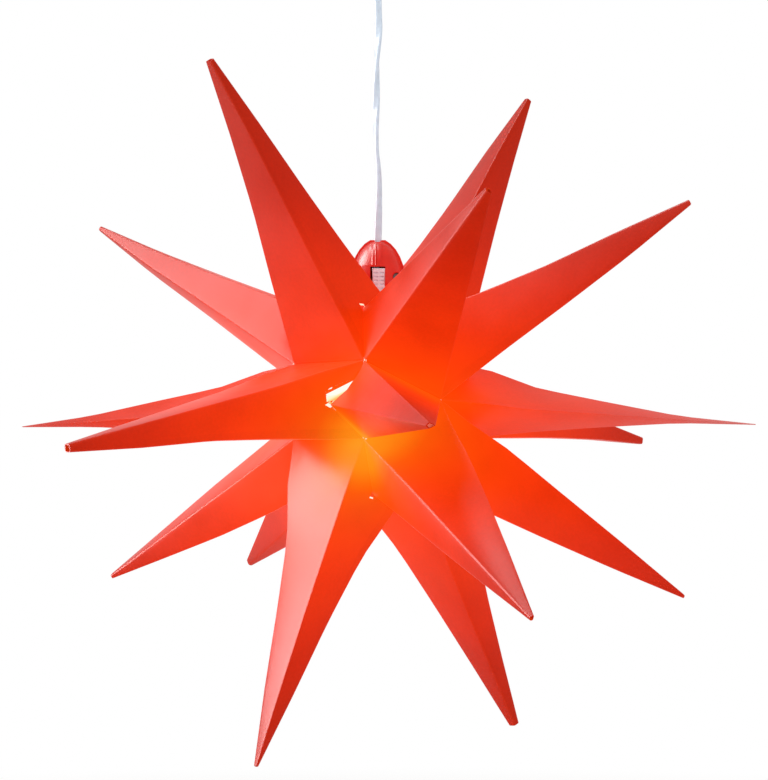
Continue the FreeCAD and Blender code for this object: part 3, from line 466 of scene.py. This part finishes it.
TIP = 4 * MM                # the spike's end within this of its reach
SAME_WAY = 0.9998           # faces of one panel agree this well in direction
SAME_LEVEL = 0.1 * MM
ON_CREASE = 0.02 * MM
CREASE_CORNER = 1.0 * MM    # both edges of the sheet's thickness lie within this of their crease
CORNER_END = 1.5 * MM       # and end within this of each other at the mouth
CORNER_CLOSE = 2.7 * MM     # how far the sheet goes on into each corner of the mouth

FLAP_DEPTH = 1.2 * MM       # the glue flap's inner face below the panel's outside
FLAP_SLACK = 0.15 * MM
FLAP_WAY = -0.99            # and it faces in, against the panel
FLAP_WIDTH = 8 * MM
FLAP_TAPER = 0.3            # its width at the tip, as a share
FLAP_REACH = 0.86           # it has its whole width this share of the spike down from the tip
NO_FLAP = 4.0               # widths from the flap's crease, on panels without a flap

INSIDE_DEPTH = 0.45 * MM    # faces farther below a panel's outside than this are the sheet's inside
TAB_REACH = 90 * MM         # the welded tabs, lit from both sides and so given the inside's painted glow, lie this near the hub
TAB_TURN = 0.98             # and off the panels' directions
TAB_OFF = 1.5 * MM          # and off the creases

# The sheet has set a little off its folded lines. Seen from the front and looking out along a spike,
# its outline runs this far outside the fold, in mm on the left and on the right, at four places.
SET_PLACES = (0.42, 0.6, 0.8, 1.0)
SET_FROM = 0.28
SET_LINES = {
    ("front", 3): ((-2.4, 0.0), (-3.0, 0.9), (-0.9, 1.2), (0.0, -0.5)),
    ("front", 4): ((-6.2, -2.5), (-6.4, -4.0), (-6.2, -5.0), (-1.5, -2.0)),
    ("front", 5): ((2.5, 0.9), (1.8, 0.8), (1.3, 0.0), (0.0, -1.8)),
    ("front", 6): ((2.5, 0.0), (2.7, 0.0), (1.7, -0.6), (0.0, -1.8)),
    ("mid", 1): ((-1.5, -2.0), (-1.4, -2.0), (2.1, -2.0), (3.8, -2.1)),
    ("mid", 2): ((0.0, -1.8), (-0.7, -2.5), (0.7, -2.4), (3.3, -3.0)),
    ("mid", 3): ((-3.0, -0.7), (-2.3, -1.6), (0.0, -1.6), (0.9, -1.0)),
    ("mid", 4): ((0.0, -1.2), (0.0, -2.1), (0.0, -1.4), (0.0, 1.4)),
    ("mid", 5): ((-3.0, -3.0), (-3.5, -2.7), (-1.4, -1.6), (1.4, 0.0)),
    ("mid", 6): ((-4.4, -5.2), (-3.7, -5.2), (-0.7, -4.2), (1.4, -4.6)),
    ("back", 1): ((-2.0, -5.0), (-2.6, -5.0), (-2.8, -5.4), (-1.0, -2.4)),
    ("back", 2): ((0.0, -0.9), (0.0, -1.6), (0.8, -1.7), (-0.6, 0.0)),
    ("back", 5): ((0.0, 2.5), (0.0, 3.0), (-1.5, 3.5), (-3.5, 3.8)),
    ("back", 6): ((1.6, 0.8), (1.6, 2.1), (-0.7, 2.3), (-3.3, 2.6)),
}

# The seam between the upper left front spike and the left one has come unglued, and the sheet beside it
# has bowed away. The opening's outline from the front, in mm from the hub.
OPEN_SPIKES = (("mid", 1), ("front", 1))
OPENING = ((-15.6, 14.9), (-32.7, 8.0), (-35.5, 5.3), (-34.8, -1.6), (-29.3, -0.2), (-21.1, 6.7))
OPENING_FRONT = 35 * MM     # only sheet this far in front of the hub is cut
OPENING_NEAR = 60 * MM      # and this near the opening's middle


# A flat outer side of a spike: the directions of its two creases from the apex where they would meet,
# its normal, and the matrix that gives a point's way along each crease and its height
Panel = namedtuple("Panel", "start end normal solve apex")


class Spike:
    """One spike's four outer panels and creases, read from its flats."""

    def __init__(self, bm):
        reach = max((v.co - HUB).length for v in bm.verts)
        ends = [v.co for v in bm.verts if (v.co - HUB).length > reach - TIP]
        self.axis = (sum(ends, Vector()) / len(ends) - HUB).normalized()
        self.reach = reach
        sides = self.outer_sides(bm)
        side = sides[0][0].cross(self.axis).normalized()
        up = self.axis.cross(side)
        sides.sort(key=lambda p: math.atan2(p[0].dot(up), p[0].dot(side)))
        normals = [p[0] for p in sides]
        levels = [p[0].dot(p[1]) for p in sides]
        creases = []
        for i in range(4):
            along = normals[i - 1].cross(normals[i]).normalized()
            creases.append(along if along.dot(self.axis) < 0 else -along)
        self.panels = []
        for i in range(4):
            near, far = i - 1, (i + 1) % 4
            a, b, c = normals[near], normals[i], normals[far]
            apex = (levels[near] * b.cross(c) + levels[i] * c.cross(a)
                    + levels[far] * a.cross(b)) / a.dot(b.cross(c))
            start, end = creases[i], creases[far]
            solve = Matrix((start, end, normals[i])).transposed().inverted()
            self.panels.append(Panel(start, end, normals[i], solve, apex))

    def outer_sides(self, bm):
        """Direction, a place on it and area of the four largest flats that face outwards."""
        found = []
        for face in bm.faces:
            centre = face.calc_center_median()
            arm = centre - HUB
            if face.normal.dot(arm - self.axis * arm.dot(self.axis)) <= 0:
                continue
            for side in found:
                if face.normal.dot(side[0]) > SAME_WAY and abs((centre - side[1]).dot(side[0])) < SAME_LEVEL:
                    side[2] += face.calc_area()
                    break
            else:
                found.append([face.normal.copy(), centre, face.calc_area()])
        return sorted(found, key=lambda p: -p[2])[:4]

    def sector(self, point):
        """The panel a point belongs to, its share across it, distance down it and height above it,
        which is below nothing on the inside."""
        best = None
        for i, panel in enumerate(self.panels):
            a, b, rise = panel.solve @ (point - panel.apex)
            if best is None or rise > best[3]:
                best = (i, b / max(a + b, 1e-9), a + b, rise)
        return best

    def crease_gap(self, i, point):
        """Distance to the nearer crease of a panel."""
        panel = self.panels[i]
        return min(off_line(point - panel.apex, way) for way in (panel.start, panel.end))


def off_line(arm, way):
    """How far the end of an arm lies from the line that goes the given way from its start."""
    return (arm - way * arm.dot(way)).length


def close_corners(bm, spike):
    """Brings each crease of the sheet right into its corner of the mouth."""
    for panel in spike.panels:
        arms = [(v, v.co - panel.apex) for v in bm.verts]
        along = [(v, arm.dot(panel.start)) for v, arm in arms if off_line(arm, panel.start) < CREASE_CORNER]
        last = max(far for v, far in along)
        for v, far in along:
            if far > last - CORNER_END:
                v.co += panel.start * CORNER_CLOSE


def find_flap(bm, spike):
    """The panel that has the glue flap inside it, and which of its creases the flap lies along."""
    best = (0, 0, 0)
    for face in bm.faces:
        i, share, down, rise = spike.sector(face.calc_center_median())
        if abs(rise + FLAP_DEPTH) < FLAP_SLACK and face.normal.dot(spike.panels[i].normal) < FLAP_WAY:
            best = max(best, (face.calc_area(), i, 0 if share < 0.5 else 1))
    return best[1:]


def divide(bm, spike):
    """Rounds the creases, and divides the sheet across each spike and in a fan down each panel."""
    station = STATION_FROM
    while station < spike.reach - STATION_CLEAR:
        cut(bm, bm.faces, HUB + spike.axis * station, spike.axis)
        station += STATION_STEP
    creases = []
    for edge in bm.edges:
        for panel in spike.panels:
            if all(off_line(v.co - panel.apex, panel.start) < ON_CREASE for v in edge.verts):
                creases.append(edge)
    bmesh.ops.bevel(bm, geom=creases, offset=CREASE_ROUND, offset_type="OFFSET", segments=2, profile=0.5,
                    affect="EDGES", material=-1, clamp_overlap=True)
    for i, panel in enumerate(spike.panels):
        for share in FAN_SHARES:
            faces = [f for f in bm.faces if spike.sector(f.calc_center_median())[0] == i]
            cut(bm, faces, panel.apex, panel.start.lerp(panel.end, share).cross(panel.normal))


def mark_folds(bm, spike, flap_panel, flap_side):
    """Gives each face the outside or the inside material, and the folds' distances as its UV."""
    fold = bm.loops.layers.uv.new("fold")
    for face in bm.faces:
        centre = face.calc_center_median()
        i, share, down, rise = spike.sector(centre)
        turn = max(abs(face.normal.dot(p.normal)) for p in spike.panels)
        tab = (centre - HUB).length < TAB_REACH and turn < TAB_TURN and spike.crease_gap(i, centre) > TAB_OFF
        face.material_index = 1 if tab or rise < -INSIDE_DEPTH else 0
        for loop in face.loops:
            point = loop.vert.co
            across = NO_FLAP
            if i == flap_panel:
                panel = spike.panels[i]
                arm = point - panel.apex
                grown = min(arm.length / (spike.reach * FLAP_REACH), 1)
                wide = FLAP_WIDTH * (FLAP_TAPER + (1 - FLAP_TAPER) * grown)
                across = off_line(arm, (panel.start, panel.end)[flap_side]) / wide
            loop[fold].uv = (spike.crease_gap(i, point) / MM, across)


def bow(bm, spike):
    """Bows each panel out between its creases, from nothing at the mouth."""
    for v in bm.verts:
        i, share, down, rise = spike.sector(v.co)
        panel = spike.panels[i]
        out = min(max(((v.co - HUB).length - BULGE_FROM) / (BULGE_FULL - BULGE_FROM), 0), 1)
        grow = out * out * (3 - 2 * out)
        width = (panel.end - panel.start).length * down
        v.co += panel.normal * (BULGE * width * 4 * share * (1 - share) * grow)


def settle(bm, spike, lines):
    """Moves a spike's outline off its folded lines, by the millimetres left and right at SET_PLACES."""
    side = Vector((0, 1, 0)).cross(spike.axis).normalized()
    edges = []
    for panel in spike.panels:
        arm = panel.apex - HUB
        edges.append((arm.dot(spike.axis), arm.dot(side), panel.start.dot(side) / panel.start.dot(spike.axis)))
    places = [SET_FROM] + list(SET_PLACES)
    lines = [(0, 0)] + list(lines)
    for v in bm.verts:
        arm = v.co - HUB
        out = arm.dot(spike.axis)
        across = [level + slope * (out - tip) for tip, level, slope in edges]
        low, high = min(across), max(across)
        share = min(max((arm.dot(side) - low) / max(high - low, MM), 0), 1)
        far = min(max(out / spike.reach, SET_FROM), 1)
        at = next(i for i in range(len(SET_PLACES)) if far <= places[i + 1])
        part = (far - places[at]) / (places[at + 1] - places[at])
        left, right = (a + (b - a) * part for a, b in zip(lines[at], lines[at + 1]))
        v.co += side * MM * (right * share - left * (1 - share))


def cut_opening(bm):
    """Cuts away what stands in front of the lamp where the seam has opened."""
    corners = [HUB + Vector((x, 0, z)) * MM for x, z in OPENING]
    sides = [(a, Vector((0, 1, 0)).cross(b - a).normalized())
             for a, b in zip(corners, corners[1:] + corners[:1])]
    middle = sum(corners, Vector()) / len(corners)

    def in_front(face):
        off = face.calc_center_median() - middle
        return off.y < -OPENING_FRONT and Vector((off.x, 0, off.z)).length < OPENING_NEAR

    for place, out in sides:
        cut(bm, [f for f in bm.faces if in_front(f)], place, out)
    signs = [(middle - place).dot(out) for place, out in sides]
    gone = [f for f in bm.faces if f.calc_center_median().y < -OPENING_FRONT
            and all((f.calc_center_median() - place).dot(out) * sign > 0
                    for (place, out), sign in zip(sides, signs))]
    bmesh.ops.delete(bm, geom=gone, context="FACES")


def make_spike(ring, number):
    node = "spike_%s_%d" % (ring, number)
    bm = merged(node)
    bm.normal_update()
    spike = Spike(bm)
    flap = find_flap(bm, spike)
    close_corners(bm, spike)
    bm.normal_update()
    divide(bm, spike)
    mark_folds(bm, spike, *flap)
    bow(bm, spike)
    if (ring, number) in SET_LINES:
        settle(bm, spike, SET_LINES[ring, number])
    if (ring, number) in OPEN_SPIKES:
        cut_opening(bm)
    piece = new_piece("sheet_%s_%d" % (ring, number), bm, "star", node, [sheet_out, sheet_in])
    soften(piece, SHEET_SHARP)


for ring in ("front", "mid", "back"):
    for number in range(1, 7):
        make_spike(ring, number)


# Cap, holder, lamp and hanging parts: the CAD shapes with their moulded or formed edges eased

# The cap has turned a little on its neck, and the boot has been pushed forward into its window
CAP_PARTS = ("cap_front", "cap_rear", "cap_screws", "strain_relief")
CAP_TURN = math.radians(8)
RELIEF_MIDDLE = -9 * MM
RELIEF_FORWARD = 5.2 * MM
RELIEF_SPREAD = 1.2

# Two low ribs run down the cap's front beside the flex, to the window: their sides in mm at the foot
RIBS = ((-4.5, -3.2), (-1.9, -0.6))
RIB_TOP = -0.2562
RIB_BOTTOM = -0.2715
RIB_RISE = Vector((0, -0.7, 0.2)) * MM
RIB_TAPER = 0.3             # a rib's width on top, as a share of its foot
CAP_FRONT_WAY = -0.3        # the cap's outside in front faces more towards -Y than this

EASE_FROM = 35              # degrees: edges sharper than this are rounded
STAY_SHARP = 45             # degrees: edges sharper than this are shaded sharp


def widen_relief(bm):
    """Brings the boot's front half forward, and makes it wider."""
    front = [v for v in bm.verts if v.co.y < RELIEF_MIDDLE]
    middle = sum(v.co.x for v in front) / len(front)
    for v in front:
        v.co.y -= RELIEF_FORWARD
        v.co.x = middle + (v.co.x - middle) * RELIEF_SPREAD


def raise_ribs(bm):
    for rib in RIBS:
        for x in rib:
            cut(bm, bm.faces, (x * MM, 0, 0), (1, 0, 0))
    for z in (RIB_TOP, RIB_BOTTOM):
        cut(bm, bm.faces, (0, 0, z), (0, 0, 1))
    bm.normal_update()
    for low, high in RIBS:
        foot = []
        for face in bm.faces:
            centre = face.calc_center_median()
            within = low * MM < centre.x < high * MM and RIB_BOTTOM < centre.z < RIB_TOP
            if within and face.normal.y < CAP_FRONT_WAY:
                foot.append(face)
        grown = bmesh.ops.extrude_face_region(bm, geom=foot)["geom"]
        middle = (low + high) / 2 * MM
        for v in grown:
            if isinstance(v, bmesh.types.BMVert):
                v.co += RIB_RISE
                v.co.x = middle + (v.co.x - middle) * RIB_TAPER
        bmesh.ops.delete(bm, geom=foot, context="FACES")


def eased(node, name, slot, material, edge):
    bm = merged(node)
    if node == "strain_relief":
        widen_relief(bm)
    if node in CAP_PARTS:
        bmesh.ops.rotate(bm, verts=bm.verts, cent=(0, 0, 0), matrix=Matrix.Rotation(CAP_TURN, 3, "Z"))
    if node == "cap_front":
        raise_ribs(bm)
    piece = new_piece(name, bm, frame["nodes"][node]["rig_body"], node, [material])
    ease = piece.modifiers.new("edges", "BEVEL")
    ease.width = edge
    ease.segments = 2
    ease.limit_method = "ANGLE"
    ease.angle_limit = math.radians(EASE_FROM)
    ease.use_clamp_overlap = True
    soften(piece, STAY_SHARP)


EASED = (
    ("cap_front", "cap_half_front", "cap_plastic", cap_red, 0.35 * MM),
    ("cap_rear", "cap_half_rear", "cap_plastic", cap_red, 0.35 * MM),
    ("closing_studs", "fan_studs", "stud_plastic", stud_red, 0.3 * MM),
    ("cap_screws", "cross_screws", "screw_steel", screw_zinc_shaded, 0.15 * MM),
    ("neck_ring", "clamp_ring", "ring_plastic", ring_white, 0.3 * MM),
    ("strain_relief", "relief_boot", "relief_plastic", relief_white, 0.25 * MM),
    ("cable_tail", "flex_tail", "flex_sheath", flex_white, 0.1 * MM),
    ("cable_cores", "flex_cores", "core_sheath", cores, 0.1 * MM),
    ("lamp_holder", "holder_block", "holder_plastic", holder_white, 0.2 * MM),
    ("holder_skirt", "holder_tube", "holder_plastic", holder_white, 0.3 * MM),
    ("terminal_screws", "terminal_pair", "brass", brass, 0.12 * MM),
    ("holder_sleeve", "sleeve_tube", "brass", brass, 0.1 * MM),
    ("holder_contact", "leaf_contact", "brass", brass, 0.1 * MM),
    ("lamp_contact", "lamp_foot_pad", "lamp_shell_metal", nickel, 0.1 * MM),
    ("lamp_insulator", "lamp_foot_glass", "lamp_insulator_black", black_glass, 0.1 * MM),
    ("lamp_cap", "lamp_screw_shell", "lamp_shell_metal", nickel, 0.15 * MM),
    ("lamp_body", "lamp_housing", "lamp_body_plastic", housing_white, 0.5 * MM),
    ("lamp_led_plate", "lamp_board", "led_board", board_white, 0.1 * MM),
    ("lamp_globe", "lamp_bulb", "opal_globe", opal, 0.1 * MM),
    ("grip_cap", "grip_top", "grip_plastic", grip_white, 0.4 * MM),
    ("grip_screw", "grip_set_screw", "screw_steel", screw_zinc_shaded, 0.15 * MM),
    ("swivel_eye", "eye_forged", "hook_steel", hook_zinc, 0.4 * MM),
    ("ceiling_hook", "hook_wire", "hook_steel", hook_zinc, 0.2 * MM),
)
for row in EASED:
    eased(*row)
frame["nodes"]["grip_body"].data.materials.clear()
frame["nodes"]["grip_body"].data.materials.append(grip_white)


# Stage: pale floor, soft studio light

FLOOR_Z = -0.80
FLOOR_HALF = 6
FLOOR_FADE = (1.0, 1.5)     # the floor turns to plain white this far out

floor_bm = bmesh.new()
bmesh.ops.create_grid(floor_bm, x_segments=1, y_segments=1, size=FLOOR_HALF)
floor_mesh = bpy.data.meshes.new("floor")
bmesh.ops.translate(floor_bm, verts=floor_bm.verts, vec=(0, 0, FLOOR_Z))
floor_bm.to_mesh(floor_mesh)
floor_bm.free()
floor = bpy.data.objects.new("floor", floor_mesh)
bpy.context.scene.collection.objects.link(floor)


def background_rays(tree):
    """1 for rays that show the background itself: the camera's, and those in gloss and glass."""
    ray = add(tree, "ShaderNodeLightPath")
    seen = add(tree, "ShaderNodeMath", {0: ray.outputs["Is Camera Ray"], 1: ray.outputs["Is Glossy Ray"]},
               operation="ADD")
    return add(tree, "ShaderNodeMath", {0: seen.outputs["Value"], 1: ray.outputs["Is Transmission Ray"]},
               operation="ADD", use_clamp=True).outputs["Value"]


# Matt emulsion, a warm off-white. Near the star the floor keeps its shadow. Farther out it is the
# white of the background.
paint, paint_tree, paint_finish = new_material("floor_pale_matt_paint")
feed(paint_tree, paint_finish, {"Base Color": shade("F2F1EE"), "Roughness": 0.9})
ground = add(paint_tree, "ShaderNodeSeparateXYZ", {0: add(paint_tree, "ShaderNodeTexCoord").outputs["Object"]})
level_place = add(paint_tree, "ShaderNodeCombineXYZ", {"X": ground.outputs["X"], "Y": ground.outputs["Y"]})
far_out = add(paint_tree, "ShaderNodeVectorMath", {0: level_place.outputs["Vector"]}, operation="LENGTH")
fade = add(paint_tree, "ShaderNodeMapRange", {
    "Value": far_out.outputs["Value"], "From Min": FLOOR_FADE[0], "From Max": FLOOR_FADE[1]},
    interpolation_type="SMOOTHSTEP")
white_share = add(paint_tree, "ShaderNodeMath", {0: fade.outputs["Result"], 1: background_rays(paint_tree)},
                  operation="MULTIPLY")
plain_white = add(paint_tree, "ShaderNodeEmission", {"Color": (1, 1, 1, 1), "Strength": 1.0})
floor_mix = add(paint_tree, "ShaderNodeMixShader", {
    0: white_share.outputs["Value"], 1: paint_finish.outputs["BSDF"], 2: plain_white.outputs["Emission"]})
feed(paint_tree, paint_tree.nodes["Material Output"], {"Surface": floor_mix.outputs["Shader"]})
floor_mesh.materials.append(paint)

WORLD_LIGHT = 0.58

world = bpy.data.worlds.new("studio")
bpy.context.scene.world = world
world.use_nodes = True
sky = world.node_tree
level = add(sky, "ShaderNodeMapRange", {"Value": background_rays(sky), "To Min": WORLD_LIGHT, "To Max": 1.0})
feed(sky, sky.nodes["Background"], {"Color": (1, 1, 1, 1), "Strength": level.outputs["Result"]})


def soft_light(name, place, wide, high, power, gloss):
    """A soft box that faces the star and gives it either gloss or plain light."""
    lamp = bpy.data.lights.new(name, "AREA")
    lamp.shape = "RECTANGLE"
    lamp.size = wide
    lamp.size_y = high
    lamp.energy = power
    light = bpy.data.objects.new(name, lamp)
    light.location = place
    light.rotation_euler = (HUB - Vector(place)).to_track_quat("-Z", "Y").to_euler()
    light.visible_diffuse = not gloss
    light.visible_glossy = gloss
    bpy.context.scene.collection.objects.link(light)


# The sky that the satin sheet reflects stands to its left. It only gives gloss, so colours stay as written.
soft_light("left_sky", (-1.98, -0.06, 0.08), 1.7, 2.9, 640, gloss=True)
soft_light("high_sky", (-0.59, 0.02, 1.44), 0.9, 0.9, 110, gloss=True)
soft_light("key", (-1.5, -1.0, 0.9), 1.6, 1.6, 15, gloss=False)
soft_light("fill", (1.8, -1.6, 0.3), 1.4, 1.4, 8, gloss=False)
soft_light("back", (0.4, 1.8, 0.9), 1.2, 1.2, 8, gloss=False)

bpy.context.scene.view_settings.view_transform = "Standard"
